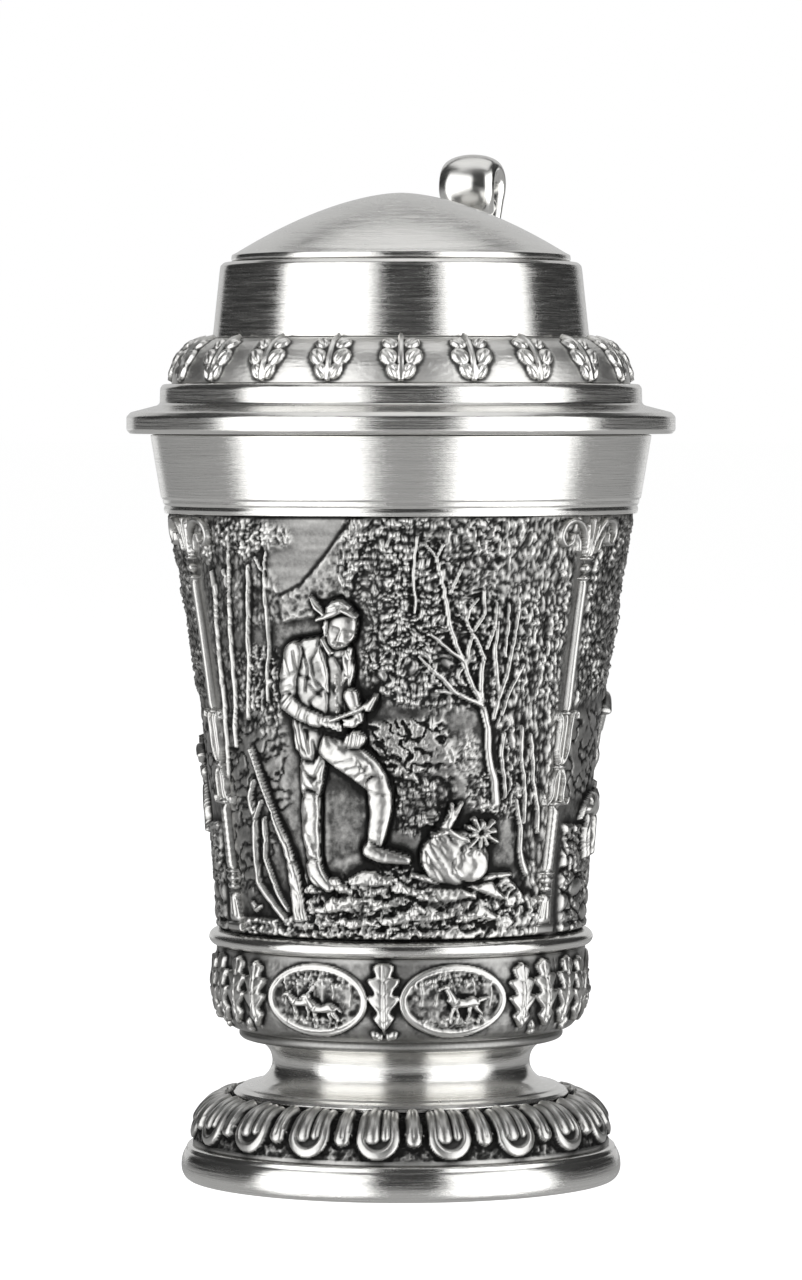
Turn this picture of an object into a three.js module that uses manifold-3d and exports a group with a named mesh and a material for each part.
// A half-litre lidded pewter tankard: a hollow foot, a concave stem, a band of oval medallions, a flared wall of
// three cast relief panels, a turned lip, a scroll handle, and a domed lid that swings on a five-ring hinge.
// Millimetres, +Z up. The origin is the centre of the foot's underside, and the handle is on the +Y side.
// Run it with the npm packages three and manifold-3d.
import * as THREE from "three";
import { mergeVertices } from "three/addons/utils/BufferGeometryUtils.js";
import Module from "manifold-3d";

const wasm = await Module();
wasm.setup();

// ---- Driving dimensions -------------------------------------------------------------------------------------

const WALL = 1.8; // thickness of every cast or spun wall
const SEAM = 0.05; // solder seam between two rings that are stacked
const FIT = 0.3; // clearance where one piece is cut to the shape of another

// Foot and stem. A setback is how far a ring's radius is inside that of the ring below it.
const BASE_RADIUS = 42.5;
const BASE_HEIGHT = 6.8;
const BASE_FOOT_SETBACK = 1.4; // where the rounded base meets the table
const BASE_TOP_SETBACK = 1.5;
const BASE_RIM_WIDTH = 7.1; // from the base's foot in to the closing plate
const PLATE_THICKNESS = 1.6;
const GADROON_SETBACK = 0.8;
const GADROON_SPAN = 7.0; // how far the rounded shoulder runs in
const GADROON_HEIGHT = 9.1;
const COLLAR_SETBACK = 0.8; // lower collar of the stem
const COLLAR_HEIGHT = 2.2;
const STEM_FLARE_SETBACK = 1.8;
const STEM_LOWER_HEIGHT = 4.7; // from the collar up to the waist
const STEM_UPPER_HEIGHT = 4.4; // from the waist up to the bowl

// Relief wall and pilasters
const WALL_HEIGHT = 79.9;
const WALL_LOW_RADIUS = 34.9;
const WALL_FLARE = 3.7; // straight part of the flare
const WALL_SWEEP = 6.1; // part of the flare that grows towards the lip
const FRONT_PANEL_ANGLE = -79.5; // degrees, polar angle of the front panel's middle
const PANEL_NAMES = ["wall_panel_front", "wall_panel_right", "wall_panel_left"];
const PILASTER_DEPTH = 1.5;
const PILASTER_SHAFT = 1.3; // half width
const PILASTER_CAPITAL = 9.0; // half width
const PILASTER_KNOT = 3.6; // half width
const PILASTER_FOOT = 4.4; // half width
const PILASTER_LEANS = [-3, 3, 3]; // how far each foot is to the side of its capital, towards larger polar angles
const PILASTER_BEND = 0.54; // share of its height above which a pilaster is upright

// Medallion band, floor and bead, from the wall downwards
const BEAD_OUTSET = 0.5; // seat of the waist bead outside the foot of the wall
const BEAD_DEPTH = 1.7; // how far the waist bead stands proud of its seat
const BEAD_HEIGHT = 3.4;
const BAND_TOP_OUTSET = 0.2;
const BAND_BULGE = 0.6; // widest place outside the top of the band
const BAND_UPPER_HEIGHT = 6.2; // from the widest place up to the waist bead
const BAND_BULGE_HEIGHT = 9.7; // from the lower bead up to the widest place
const BAND_UNDERCUT = 4.7; // from the widest place in to the lower bead
const BAND_BEAD_SETBACK = 0.2;
const BAND_BEAD_HEIGHT = 2.1;
const STEM_TOP_SETBACK = 2.6; // stem's top inside the lower bead
const STEM_NARROWING = 3.8; // from the stem's top in to its waist
const FLOOR_THICKNESS = 2.0;

// Lip
const LIP_MOULDING_OUTSET = 0.9;
const LIP_MOULDING_HEIGHT = 2.9;
const LIP_OUTSET = 1.5;
const LIP_FLARE = 2.1;
const LIP_HEIGHT = 15.2; // with its moulding
const LIP_WALL = 2.3;

// Lid
const LID_GAP = 0.1; // under the closed lid
const FLANGE_OVERHANG = 4.6; // past the lip
const FLANGE_THICKNESS = 4.0; // at its outer edge
const FLANGE_RISE = 1.6; // slope of its upper face
const STEP_SETBACK = 6.5;
const STEP_HEIGHT = 4.0;
const PALMETTE_SETBACK = 2.2;
const PALMETTE_SPAN = 7.6; // how far the rounded ring runs in
const PALMETTE_HEIGHT = 8.7;
const DRUM_SETBACK = 0.3;
const DRUM_TAPER = 1.4;
const DRUM_HEIGHT = 14.8;
const DRUM_LEDGE = 2.2; // width of the ledge round the dome
const DOME_HEIGHT = 11.6;
const DOME_BEAD_HEIGHT = 1.7;
const DOME_SETBACK = 1.0; // from the bead's edge to the foot of the dome
const DOME_POWER = 1.68; // 2 is a parabola, 1 a cone
const SEAT_DEPTH = 3.2; // how far the seat ring reaches into the mouth
const SEAT_THICKNESS = 1.4;
const SEAT_CLEARANCE = 1.6; // between the seat ring and the mouth, so that the lid can swing out

// Hinge and thumb lift
const PIN_RADIUS = 1.3;
const PIN_CLEARANCE = 0.1;
const KNUCKLE_RADIUS = 3.4;
const KNUCKLE_LENGTH = 3.2;
const KNUCKLE_GAP = 0.3;
const HANDLE_RINGS = [0, 2, 4]; // the handle has the odd rings of the hinge and the lid the even ones
const LID_RINGS = [1, 3];
const PIN_HEAD_RADIUS = 2.2;
const PIN_HEAD_LENGTH = 1.0;
const HINGE_EDGE_GAP = 1.1; // between the flange and the rings
const HINGE_ABOVE_FLANGE = 3.1; // height of the pin over the flange's underside
const STRAP_LENGTH = 8.0;
const STRAP_THICKNESS = 1.8;
const THUMB_WIDTH = 9.6;
const THUMB_THICKNESS = 3.2;
const THUMB_CURL_RADIUS = 5.7; // of the middle line of its rolled end
const THUMB_LEAN = 1.3; // how far the middle of the curl is in front of the foot
const THUMB_ABOVE_DOME = 2.1; // from the top of the dome up to the middle of the curl

// Handle
const HANDLE_WIDTH = 12.6;
const HANDLE_THICKNESS = 6.6;
const HANDLE_PROJECTION = 27.7; // from the lip out to the handle's middle line
const HANDLE_LOW_HEIGHT = 13.4; // of its lower end over the foot of the wall

// Facets
const TURNS = 36;
const ARC_STEPS = 4;
const WALL_STEPS = 6;
const DOME_STEPS = 6;
const TUBE_SIDES = 6; // per half turn
const HANDLE_STEPS = 26;
const THUMB_STEPS = 26;

// ---- Radii that follow from each other ---------------------------------------------------------------------------

const BASE_FOOT_RADIUS = BASE_RADIUS - BASE_FOOT_SETBACK;
const BASE_TOP_RADIUS = BASE_RADIUS - BASE_TOP_SETBACK;
const BASE_BORE_RADIUS = BASE_FOOT_RADIUS - BASE_RIM_WIDTH;
const GADROON_LOW_RADIUS = BASE_TOP_RADIUS - GADROON_SETBACK;
const GADROON_TOP_RADIUS = GADROON_LOW_RADIUS - GADROON_SPAN;
const COLLAR_RADIUS = GADROON_TOP_RADIUS - COLLAR_SETBACK;
const STEM_FLARE_RADIUS = COLLAR_RADIUS - STEM_FLARE_SETBACK;
const BEAD_SEAT_RADIUS = WALL_LOW_RADIUS + BEAD_OUTSET;
const BAND_TOP_RADIUS = BEAD_SEAT_RADIUS + BAND_TOP_OUTSET;
const BAND_RADIUS = BAND_TOP_RADIUS + BAND_BULGE;
const BAND_LOW_RADIUS = BAND_RADIUS - BAND_UNDERCUT;
const BAND_BEAD_RADIUS = BAND_LOW_RADIUS - BAND_BEAD_SETBACK;
const STEM_TOP_RADIUS = BAND_BEAD_RADIUS - STEM_TOP_SETBACK;
const STEM_WAIST_RADIUS = STEM_TOP_RADIUS - STEM_NARROWING;
const WALL_TOP_RADIUS = WALL_LOW_RADIUS + WALL_FLARE + WALL_SWEEP;
const LIP_MOULDING_RADIUS = WALL_TOP_RADIUS + LIP_MOULDING_OUTSET;
const LIP_LOW_RADIUS = WALL_TOP_RADIUS + LIP_OUTSET;
const LIP_TOP_RADIUS = LIP_LOW_RADIUS + LIP_FLARE;
const MOUTH_RADIUS = LIP_TOP_RADIUS - LIP_WALL;
const FLANGE_RADIUS = LIP_TOP_RADIUS + FLANGE_OVERHANG;
const STEP_RADIUS = FLANGE_RADIUS - STEP_SETBACK;
const PALMETTE_LOW_RADIUS = STEP_RADIUS - PALMETTE_SETBACK;
const PALMETTE_TOP_RADIUS = PALMETTE_LOW_RADIUS - PALMETTE_SPAN;
const DRUM_LOW_RADIUS = PALMETTE_TOP_RADIUS - DRUM_SETBACK;
const DRUM_TOP_RADIUS = DRUM_LOW_RADIUS - DRUM_TAPER;
const DOME_RADIUS = DRUM_TOP_RADIUS - DRUM_LEDGE;
const HANDLE_REACH = LIP_TOP_RADIUS + HANDLE_PROJECTION;
const PANEL_ANGLE = 360 / PANEL_NAMES.length; // degrees

// ---- Heights of the stacked rings ----------------------------------------------------------------------------

const GADROON_Z = BASE_HEIGHT;
const STEM_Z = GADROON_Z + GADROON_HEIGHT;
const WAIST_Z = STEM_Z + COLLAR_HEIGHT + STEM_LOWER_HEIGHT;
const BAND_Z = WAIST_Z + STEM_UPPER_HEIGHT;
const BULGE_Z = BAND_Z + BAND_BEAD_HEIGHT + BAND_BULGE_HEIGHT;
const BEAD_Z = BULGE_Z + BAND_UPPER_HEIGHT;
const WALL_Z = BEAD_Z + BEAD_HEIGHT;
const LIP_Z = WALL_Z + WALL_HEIGHT;
const LIP_TOP_Z = LIP_Z + LIP_HEIGHT;
const FLANGE_Z = LIP_TOP_Z + LID_GAP;
const STEP_Z = FLANGE_Z + FLANGE_THICKNESS + FLANGE_RISE;
const PALMETTE_Z = STEP_Z + STEP_HEIGHT;
const DRUM_Z = PALMETTE_Z + PALMETTE_HEIGHT;
const DOME_Z = DRUM_Z + DRUM_HEIGHT;
const DOME_TOP_Z = DOME_Z + DOME_BEAD_HEIGHT + DOME_HEIGHT;
const HINGE_Y = FLANGE_RADIUS + HINGE_EDGE_GAP + KNUCKLE_RADIUS;
const HINGE_Z = FLANGE_Z + HINGE_ABOVE_FLANGE;
const KNUCKLE_COUNT = HANDLE_RINGS.length + LID_RINGS.length;
const HINGE_WIDTH = KNUCKLE_COUNT * KNUCKLE_LENGTH;
const HANDLE_LOW_Z = WALL_Z + HANDLE_LOW_HEIGHT;

// ---- Outlines and solids -------------------------------------------------------------------------------------

const point = (r, z) => new THREE.Vector2(r, z);
const radians = THREE.MathUtils.degToRad;

// A quarter of an ellipse, or any part of it, as points from one angle to another in degrees.
function arc(centreR, centreZ, radiusR, radiusZ, from, to, steps = ARC_STEPS) {
  return Array.from({ length: steps + 1 }, (_, i) => {
    const a = radians(from + ((to - from) * i) / steps);
    return point(centreR + radiusR * Math.cos(a), centreZ + radiusZ * Math.sin(a));
  });
}

// A line laid `depth` behind an outer line that runs upwards or inwards, or in front of it if the depth is negative.
// Its ends stay level with the outer line's, or plumb with them where that line is flat.
function offset(outer, depth) {
  return outer.map((p, i) => {
    const before = outer[Math.max(i - 1, 0)];
    const after = outer[Math.min(i + 1, outer.length - 1)];
    const along = after.clone().sub(before).normalize();
    if (i > 0 && i < outer.length - 1) return point(Math.max(p.x - depth * along.y, 0), p.y + depth * along.x);
    if (Math.abs(along.y) > Math.abs(along.x)) return point(p.x - depth * Math.sign(along.y), p.y);
    return point(p.x, p.y + depth * Math.sign(along.x));
  });
}

// The closed outline of a shell: the outer line and the line behind it.
const shell = (outer, depth) => [...outer, ...offset(outer, depth).reverse()];

// A closed outline turned round the Z axis. It is wound so that the solid's faces point out.
function turned(outline) {
  const area = THREE.ShapeUtils.area(outline);
  const wound = area > 0 ? outline : [...outline].reverse();
  return new THREE.LatheGeometry([...wound, wound[0].clone()], TURNS).rotateX(Math.PI / 2);
}

function solid(geometry) {
  const bare = new THREE.BufferGeometry().setAttribute("position", geometry.getAttribute("position"));
  bare.setIndex(geometry.index);
  const merged = mergeVertices(bare, 1e-4);
  const corners = merged.index.array;
  const kept = [];
  for (let i = 0; i < corners.length; i += 3) {
    const [a, b, c] = [corners[i], corners[i + 1], corners[i + 2]];
    if (a !== b && b !== c && c !== a) kept.push(a, b, c);
  }
  const vertProperties = new Float32Array(merged.attributes.position.array);
  return new wasm.Manifold(new wasm.Mesh({ numProp: 3, vertProperties, triVerts: new Uint32Array(kept) }));
}

function geometryOf(manifold) {
  const { vertProperties, triVerts } = manifold.getMesh();
  const geometry = new THREE.BufferGeometry();
  geometry.setAttribute("position", new THREE.BufferAttribute(vertProperties, 3));
  geometry.setIndex(new THREE.BufferAttribute(triVerts, 1));
  geometry.computeVertexNormals();
  return geometry;
}

// A sector of a thick disc about the Z axis, from one polar angle to another, used to cut rings into panels.
function wedge(fromAngle, toAngle, radius, height) {
  const rim = arc(0, 0, radius, radius, fromAngle, toAngle, 6);
  const shape = new THREE.Shape([point(0, 0), ...rim]);
  return solid(new THREE.ExtrudeGeometry(shape, { depth: height, bevelEnabled: false }));
}

function block(width, depth, height, x, y, z) {
  return solid(new THREE.BoxGeometry(width, depth, height).translate(x, y, z));
}

function rodAlongX(radius, length, x, y, z) {
  const rod = new THREE.CylinderGeometry(radius, radius, length, TUBE_SIDES * 3);
  return solid(rod.rotateZ(Math.PI / 2).translate(x, y, z));
}

// A bar with an oval section along a curve in the plane x = 0.
function scroll(points, width, thickness, steps) {
  const curve = new THREE.CatmullRomCurve3(points.map(([y, z]) => new THREE.Vector3(0, y, z)));
  const section = new THREE.Shape();
  section.absellipse(0, 0, width / 2, thickness / 2, 0, Math.PI * 2);
  return new THREE.ExtrudeGeometry(section, { steps, extrudePath: curve, curveSegments: TUBE_SIDES });
}

// ---- The outer outlines, from the foot upwards -------------------------------------------------------------------

const wallRadius = (share) => WALL_LOW_RADIUS + WALL_FLARE * share + WALL_SWEEP * share * share;

function wallLine() {
  return Array.from({ length: WALL_STEPS + 1 }, (_, i) => {
    const share = i / WALL_STEPS;
    return point(wallRadius(share), WALL_Z + SEAM + share * (WALL_HEIGHT - SEAM));
  });
}

const bandLine = () => [
  ...arc(BAND_BEAD_RADIUS - BAND_BEAD_HEIGHT / 2, BAND_Z + BAND_BEAD_HEIGHT / 2 + SEAM,
    BAND_BEAD_HEIGHT / 2, BAND_BEAD_HEIGHT / 2 - SEAM, -90, 60, 3),
  ...arc(BAND_LOW_RADIUS, BULGE_Z, BAND_RADIUS - BAND_LOW_RADIUS, BAND_BULGE_HEIGHT, -88, 0, 4),
  point(BAND_TOP_RADIUS, BEAD_Z),
];

const beadLine = () => arc(BEAD_SEAT_RADIUS, BEAD_Z + BEAD_HEIGHT / 2, BEAD_DEPTH, BEAD_HEIGHT / 2 - SEAM, -90, 90);

const lipLine = () => [
  point(LIP_MOULDING_RADIUS, LIP_Z + SEAM),
  point(LIP_MOULDING_RADIUS, LIP_Z + LIP_MOULDING_HEIGHT),
  point(LIP_LOW_RADIUS, LIP_Z + LIP_MOULDING_HEIGHT + 0.3),
  point(LIP_TOP_RADIUS, LIP_TOP_Z),
];

// ---- Foot and stem ----------------------------------------------------------------------------------------------

function basePlate() {
  const radius = BASE_BORE_RADIUS - SEAM;
  return turned([point(0, 0), point(radius, 0), point(radius, PLATE_THICKNESS), point(0, PLATE_THICKNESS)]);
}

function baseRing() {
  const bulgeZ = BASE_HEIGHT * 0.25;
  const shoulder = 0.4;
  return turned([
    point(BASE_BORE_RADIUS, 0),
    point(BASE_FOOT_RADIUS, 0),
    ...arc(BASE_FOOT_RADIUS, bulgeZ, BASE_RADIUS - BASE_FOOT_RADIUS, bulgeZ, -60, 0, 2),
    point(BASE_TOP_RADIUS + shoulder, BASE_HEIGHT * 0.6),
    point(BASE_TOP_RADIUS + shoulder, BASE_HEIGHT - shoulder),
    point(BASE_TOP_RADIUS, BASE_HEIGHT),
    point(GADROON_LOW_RADIUS - WALL, BASE_HEIGHT),
    point(GADROON_LOW_RADIUS - WALL, PLATE_THICKNESS + WALL),
    point(BASE_BORE_RADIUS, PLATE_THICKNESS + SEAM),
  ]);
}

function gadroonFoot() {
  const rise = GADROON_HEIGHT - SEAM;
  const line = arc(GADROON_TOP_RADIUS, GADROON_Z + SEAM, GADROON_LOW_RADIUS - GADROON_TOP_RADIUS, rise, 0, 90, 4);
  line.push(point(COLLAR_RADIUS - WALL, STEM_Z));
  return turned(shell(line, WALL));
}

function pedestalStem() {
  const line = [
    point(COLLAR_RADIUS, STEM_Z + SEAM),
    point(COLLAR_RADIUS - 0.6, STEM_Z + COLLAR_HEIGHT * 0.6),
    ...arc(STEM_FLARE_RADIUS, WAIST_Z, STEM_FLARE_RADIUS - STEM_WAIST_RADIUS, STEM_LOWER_HEIGHT, 260, 180, 4),
    ...arc(STEM_TOP_RADIUS, WAIST_Z, STEM_TOP_RADIUS - STEM_WAIST_RADIUS, STEM_UPPER_HEIGHT, 160, 96, 3),
    point(STEM_TOP_RADIUS, BAND_Z),
  ];
  const bore = [
    point(STEM_WAIST_RADIUS, BAND_Z),
    point(STEM_WAIST_RADIUS - WALL, WAIST_Z),
    point(COLLAR_RADIUS - WALL * 3, STEM_Z + SEAM),
  ];
  return turned([...line, ...bore]);
}

// ---- Bowl and wall ----------------------------------------------------------------------------------------------

// Its narrow ledge carries the floor of the cup and rests on the stem.
function medallionBand() {
  return turned([
    point(STEM_WAIST_RADIUS, BAND_Z + SEAM),
    ...bandLine(),
    point(BAND_TOP_RADIUS - WALL, BEAD_Z),
    point(BAND_RADIUS - WALL, BULGE_Z),
    point(BAND_BEAD_RADIUS - WALL, BAND_Z + BAND_BEAD_HEIGHT),
    point(BAND_BEAD_RADIUS - WALL, BAND_Z + WALL),
    point(STEM_WAIST_RADIUS, BAND_Z + WALL),
  ]);
}

function cupFloor() {
  const radius = BAND_BEAD_RADIUS - WALL;
  const low = BAND_Z + WALL + SEAM;
  const chamfer = 0.6;
  return turned([
    point(0, low),
    point(radius - chamfer - FIT, low),
    point(radius - FIT, low + chamfer),
    point(radius - FIT, low + FLOOR_THICKNESS),
    point(0, low + FLOOR_THICKNESS),
  ]);
}

function waistBead() {
  const inner = BEAD_SEAT_RADIUS - WALL;
  return turned([point(inner, BEAD_Z + SEAM), ...beadLine(), point(inner, WALL_Z - SEAM)]);
}

function wallPanel(index) {
  const middle = FRONT_PANEL_ANGLE + PANEL_ANGLE * index;
  const seam = THREE.MathUtils.radToDeg(FIT / 2 / WALL_LOW_RADIUS);
  const half = PANEL_ANGLE / 2 - seam;
  const ring = solid(turned(shell(wallLine(), WALL)));
  return geometryOf(ring.intersect(wedge(middle - half, middle + half, BASE_RADIUS * 3, LIP_TOP_Z)));
}

// A slim column with a scrolled capital, a knot at mid height and a stepped foot, over the seam of two panels.
// Below the knot it leans a little to one side.
function pilaster(index) {
  const angle = FRONT_PANEL_ANGLE + PANEL_ANGLE * (index + 0.5);
  const height = WALL_HEIGHT - 2 * FIT;
  const half = [
    [PILASTER_FOOT, 0],
    [PILASTER_FOOT, 0.05],
    [PILASTER_SHAFT * 1.5, 0.09],
    [PILASTER_SHAFT * 1.5, 0.27],
    [PILASTER_KNOT, 0.33],
    [PILASTER_KNOT, 0.46],
    [PILASTER_SHAFT, 0.52],
    [PILASTER_SHAFT, 0.85],
    [PILASTER_CAPITAL * 0.4, 0.9],
    [PILASTER_CAPITAL, 0.94],
    [PILASTER_CAPITAL, 1],
  ].map(([across, share]) => point(across, share * height));
  const mirrored = half.map((p) => point(-p.x, p.y)).reverse();
  const lean = PILASTER_LEANS[index];
  const shift = (y) => lean * Math.max(1 - y / height / PILASTER_BEND, 0);
  const outline = [...half, ...mirrored].map((p) => point(p.x + shift(p.y), p.y));
  const front = new THREE.ExtrudeGeometry(new THREE.Shape(outline), {
    depth: LIP_TOP_RADIUS * 1.5,
    bevelEnabled: false,
  });
  front.rotateX(Math.PI / 2).translate(0, 0, WALL_Z + FIT).rotateZ(radians(angle + 90));
  const skin = solid(turned(shell(offset(wallLine(), -FIT), -PILASTER_DEPTH)));
  const endWidth = HANDLE_WIDTH + 2 * FIT;
  const handleEnd = block(endWidth, HANDLE_REACH, HANDLE_THICKNESS * 2, 0, HANDLE_REACH / 2, HANDLE_LOW_Z);
  return geometryOf(skin.intersect(solid(front)).subtract(handleEnd));
}

const lipBand = () => turned(shell(lipLine(), LIP_WALL));

// ---- Lid --------------------------------------------------------------------------------------------------------

const flangeTop = (radius) =>
  FLANGE_Z + FLANGE_THICKNESS + (FLANGE_RISE * (FLANGE_RADIUS - radius)) / (FLANGE_RADIUS - STEP_RADIUS);

function lidRim() {
  const bore = MOUTH_RADIUS - SEAT_CLEARANCE + SEAM;
  const edge = 0.6;
  const shelf = PALMETTE_LOW_RADIUS - WALL;
  return turned([
    point(FLANGE_RADIUS - edge, FLANGE_Z),
    point(FLANGE_RADIUS, FLANGE_Z + edge),
    point(FLANGE_RADIUS, flangeTop(FLANGE_RADIUS) - edge / 2),
    point(FLANGE_RADIUS - edge, flangeTop(FLANGE_RADIUS - edge)),
    point(STEP_RADIUS, STEP_Z),
    point(STEP_RADIUS - edge / 2, PALMETTE_Z - edge),
    point(STEP_RADIUS - edge * 1.5, PALMETTE_Z),
    point(shelf, PALMETTE_Z),
    point(shelf, PALMETTE_Z - WALL),
    point(bore, PALMETTE_Z - WALL),
    point(bore, FLANGE_Z),
  ]);
}

function lidSeatRing() {
  const outer = MOUTH_RADIUS - SEAT_CLEARANCE;
  const top = PALMETTE_Z - WALL - FIT;
  return turned([
    point(outer - SEAT_THICKNESS, FLANGE_Z - SEAT_DEPTH),
    point(outer, FLANGE_Z - SEAT_DEPTH),
    point(outer, top),
    point(outer - SEAT_THICKNESS, top),
  ]);
}

function lidPalmetteRing() {
  const rise = PALMETTE_HEIGHT - SEAM * 2;
  const span = PALMETTE_LOW_RADIUS - PALMETTE_TOP_RADIUS;
  const line = arc(PALMETTE_TOP_RADIUS, PALMETTE_Z + SEAM, span, rise, 0, 90, 4);
  line.push(point(DRUM_LOW_RADIUS - WALL, PALMETTE_Z + SEAM + rise));
  return turned(shell(line, WALL));
}

function lidDrum() {
  const edge = 0.6;
  return turned([
    point(DRUM_LOW_RADIUS, DRUM_Z + SEAM),
    point(DRUM_TOP_RADIUS, DOME_Z - edge * 2),
    point(DRUM_TOP_RADIUS - edge, DOME_Z - edge / 2),
    point(DOME_RADIUS, DOME_Z),
    point(DOME_RADIUS - WALL, DOME_Z),
    point(DOME_RADIUS - WALL, DOME_Z - WALL),
    point(DRUM_TOP_RADIUS - WALL, DOME_Z - WALL),
    point(DRUM_LOW_RADIUS - WALL, DRUM_Z + SEAM),
  ]);
}

function lidDome() {
  const low = DOME_Z + DOME_BEAD_HEIGHT;
  const crown = Array.from({ length: DOME_STEPS + 1 }, (_, i) => {
    const share = 1 - i / DOME_STEPS;
    return point((DOME_RADIUS - DOME_SETBACK) * share, low + DOME_HEIGHT * (1 - share ** DOME_POWER));
  });
  const under = crown.map((p) => point(p.x - WALL * (p.x / DOME_RADIUS) ** 2, p.y - WALL * 0.8));
  return turned([
    point(DOME_RADIUS, DOME_Z + SEAM),
    point(DOME_RADIUS, low - DOME_BEAD_HEIGHT * 0.4),
    ...crown,
    ...under.reverse(),
    point(DOME_RADIUS - WALL, DOME_Z + SEAM),
  ]);
}

// The lid's outside, grown by the fitting clearance: the hinge strap is cut to sit on it.
function lidEnvelope() {
  const line = [
    point(0, FLANGE_Z),
    point(FLANGE_RADIUS + FIT, FLANGE_Z),
    point(FLANGE_RADIUS + FIT, flangeTop(FLANGE_RADIUS) + FIT),
    point(STEP_RADIUS + FIT, STEP_Z + FIT),
    point(STEP_RADIUS + FIT, PALMETTE_Z + FIT),
    point(0, PALMETTE_Z + FIT),
  ];
  return solid(turned(line));
}

// ---- Hinge, thumb lift and handle --------------------------------------------------------------------------------

const knuckleX = (index) => (index - (KNUCKLE_COUNT - 1) / 2) * KNUCKLE_LENGTH;

// The rings of one side of the hinge, each with an arm towards the piece that it belongs to, and a bore for the pin.
function withKnuckles(piece, indices, arm) {
  const bore = rodAlongX(PIN_RADIUS + PIN_CLEARANCE, HINGE_WIDTH * 2, 0, HINGE_Y, HINGE_Z);
  const length = KNUCKLE_LENGTH - KNUCKLE_GAP;
  return indices
    .reduce((joined, i) => {
      const ring = rodAlongX(KNUCKLE_RADIUS, length, knuckleX(i), HINGE_Y, HINGE_Z);
      return joined.add(ring).add(arm(knuckleX(i), length));
    }, piece)
    .subtract(bore);
}

// Space that the other side's rings turn in, so that neither side's body reaches into it.
function knuckleRelief(indices) {
  return indices.map((i) => rodAlongX(KNUCKLE_RADIUS + FIT, KNUCKLE_LENGTH + FIT, knuckleX(i), HINGE_Y, HINGE_Z));
}

function lidHingeStrap() {
  const low = flangeTop(STEP_RADIUS) - FLANGE_RISE;
  const top = flangeTop(STEP_RADIUS) + FIT + STRAP_THICKNESS;
  const inner = FLANGE_RADIUS - STRAP_LENGTH + HINGE_EDGE_GAP;
  const outer = FLANGE_RADIUS - FIT;
  const plate = block(HINGE_WIDTH, outer - inner, top - low, 0, (inner + outer) / 2, (low + top) / 2);
  const arm = (x, length) => {
    const reach = HINGE_Y - outer + 1;
    const armTop = top - 0.2;
    const armLow = HINGE_Z + PIN_RADIUS;
    return block(length, reach, armTop - armLow, x, outer + reach / 2 - 1, (armTop + armLow) / 2);
  };
  return geometryOf(withKnuckles(plate, LID_RINGS, arm).subtract(lidEnvelope()));
}

function thumbLift() {
  const curlZ = DOME_TOP_Z + THUMB_ABOVE_DOME;
  const foot = flangeTop(STEP_RADIUS) + FIT * 2 + STRAP_THICKNESS;
  const footY = (FLANGE_RADIUS + STEP_RADIUS) / 2 + 1;
  const curlY = footY - THUMB_LEAN;
  const curl = [-20, 25, 70, 115, 160, 205, 250].map((degrees) => [
    curlY + THUMB_CURL_RADIUS * Math.cos(radians(degrees)),
    curlZ + THUMB_CURL_RADIUS * Math.sin(radians(degrees)),
  ]);
  const stem = [
    [footY, foot],
    [footY + 0.6, foot + 8],
    [footY + 0.2, foot + 18],
    [footY + 1.4, curlZ - 12],
  ];
  return scroll([...stem, ...curl], THUMB_WIDTH, THUMB_THICKNESS, THUMB_STEPS);
}

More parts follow.
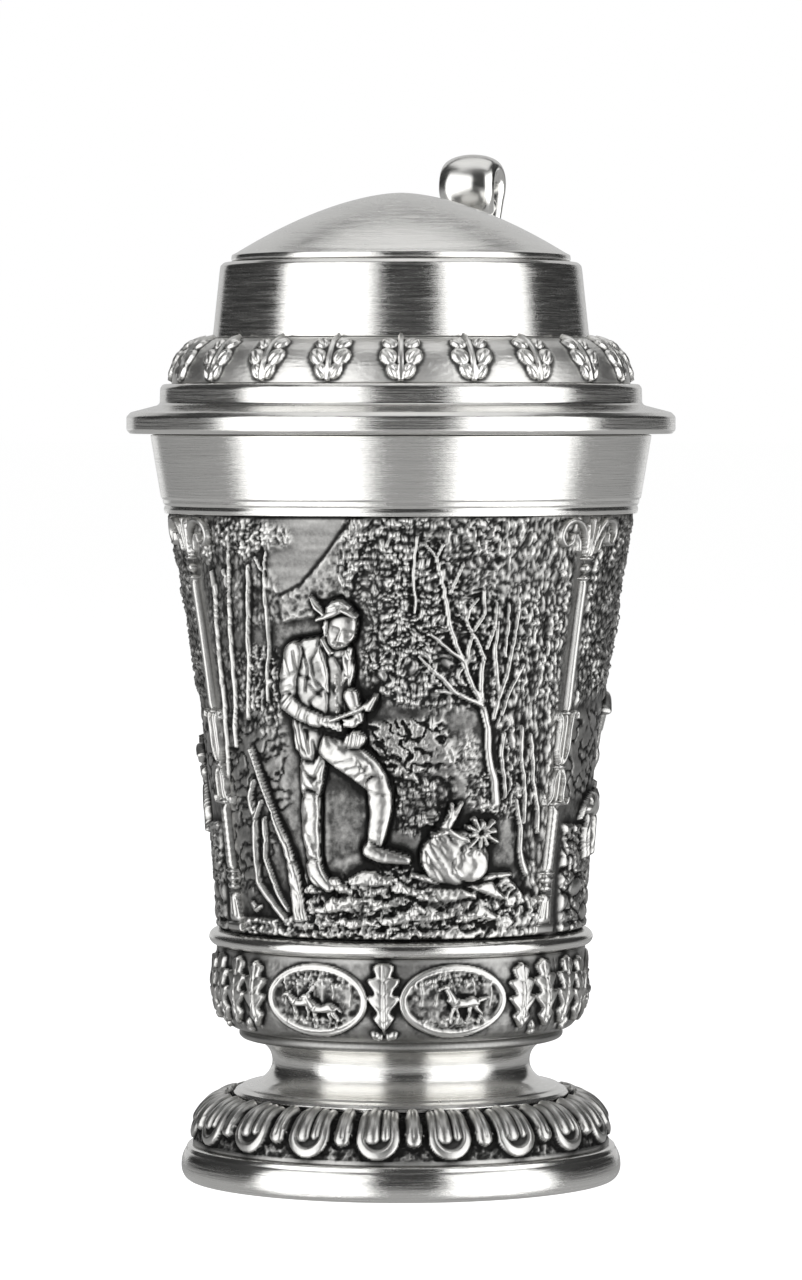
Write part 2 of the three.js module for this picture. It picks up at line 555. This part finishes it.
function handle() {
  const start = LIP_Z + LIP_MOULDING_HEIGHT + HANDLE_THICKNESS / 2;
  const inside = LIP_LOW_RADIUS - WALL * 2;
  const middle = (start + HANDLE_LOW_Z) / 2;
  const wallAtFoot = wallRadius((HANDLE_LOW_Z - WALL_Z) / WALL_HEIGHT);
  const bar = solid(scroll([
    [inside, start - 0.6],
    [HINGE_Y - 2, start + 1.8],
    [HANDLE_REACH - 7, start + 0.4],
    [HANDLE_REACH - 0.6, start - 10],
    [HANDLE_REACH, middle + 8],
    [HANDLE_REACH - 6, middle - 12],
    [wallAtFoot + 15, HANDLE_LOW_Z + 6],
    [wallAtFoot + 5, HANDLE_LOW_Z + 0.5],
    [wallAtFoot - WALL, HANDLE_LOW_Z],
  ], HANDLE_WIDTH, HANDLE_THICKNESS, HANDLE_STEPS));
  const arm = (x, length) => {
    const low = start + 2;
    return block(length, KNUCKLE_RADIUS * 1.6, HINGE_Z - low, x, HINGE_Y, (HINGE_Z + low) / 2);
  };
  const saddleHeight = LIP_TOP_Z - start - FIT;
  const saddleReach = HINGE_Y - inside;
  const saddle = block(HINGE_WIDTH, saddleReach, saddleHeight, 0, inside + saddleReach / 2, start + saddleHeight / 2);
  const bodyOutside = solid(turned([
    point(0, WALL_Z),
    ...offset([...wallLine(), ...lipLine()], -FIT),
    point(LIP_TOP_RADIUS, LIP_TOP_Z + 1),
    point(0, LIP_TOP_Z + 1),
  ]));
  const whole = bar.add(saddle);
  const cleared = knuckleRelief(LID_RINGS).reduce((rest, cut) => rest.subtract(cut), whole);
  return geometryOf(withKnuckles(cleared, HANDLE_RINGS, arm).subtract(bodyOutside));
}

function hingePin() {
  const half = HINGE_WIDTH / 2 + FIT;
  const rod = rodAlongX(PIN_RADIUS, HINGE_WIDTH + 2 * FIT, 0, HINGE_Y, HINGE_Z);
  const headAt = (side) =>
    rodAlongX(PIN_HEAD_RADIUS, PIN_HEAD_LENGTH, side * (half + PIN_HEAD_LENGTH / 2 - 0.1), HINGE_Y, HINGE_Z);
  return geometryOf(rod.add(headAt(-1)).add(headAt(1)));
}

// ---- Assembly ---------------------------------------------------------------------------------------------------

const pewter = (color, roughness) => new THREE.MeshStandardMaterial({ color, roughness, metalness: 1 });
const brushed = pewter(0xb9b9b4, 0.3);
const antiqued = pewter(0x6f6e69, 0.45);
const polished = pewter(0xc6c6c2, 0.18);

const tankard = new THREE.Group();

function add(name, geometry, material) {
  const mesh = new THREE.Mesh(geometry, material);
  mesh.name = name;
  tankard.add(mesh);
}

add("base_plate", basePlate(), brushed);
add("base_ring", baseRing(), brushed);
add("gadroon_foot", gadroonFoot(), antiqued);
add("pedestal_stem", pedestalStem(), brushed);
add("medallion_band", medallionBand(), antiqued);
add("cup_floor", cupFloor(), brushed);
add("waist_bead", waistBead(), brushed);
PANEL_NAMES.forEach((name, index) => add(name, wallPanel(index), antiqued));
PANEL_NAMES.forEach((_, index) => add("pilaster_" + (index + 1), pilaster(index), antiqued));
add("lip_band", lipBand(), brushed);
add("handle", handle(), polished);
add("hinge_pin", hingePin(), polished);
add("lid_rim", lidRim(), brushed);
add("lid_seat_ring", lidSeatRing(), brushed);
add("lid_palmette_ring", lidPalmetteRing(), antiqued);
add("lid_drum", lidDrum(), brushed);
add("lid_dome", lidDome(), brushed);
add("lid_hinge_strap", lidHingeStrap(), polished);
add("thumb_lift", thumbLift(), polished);

export default tankard;
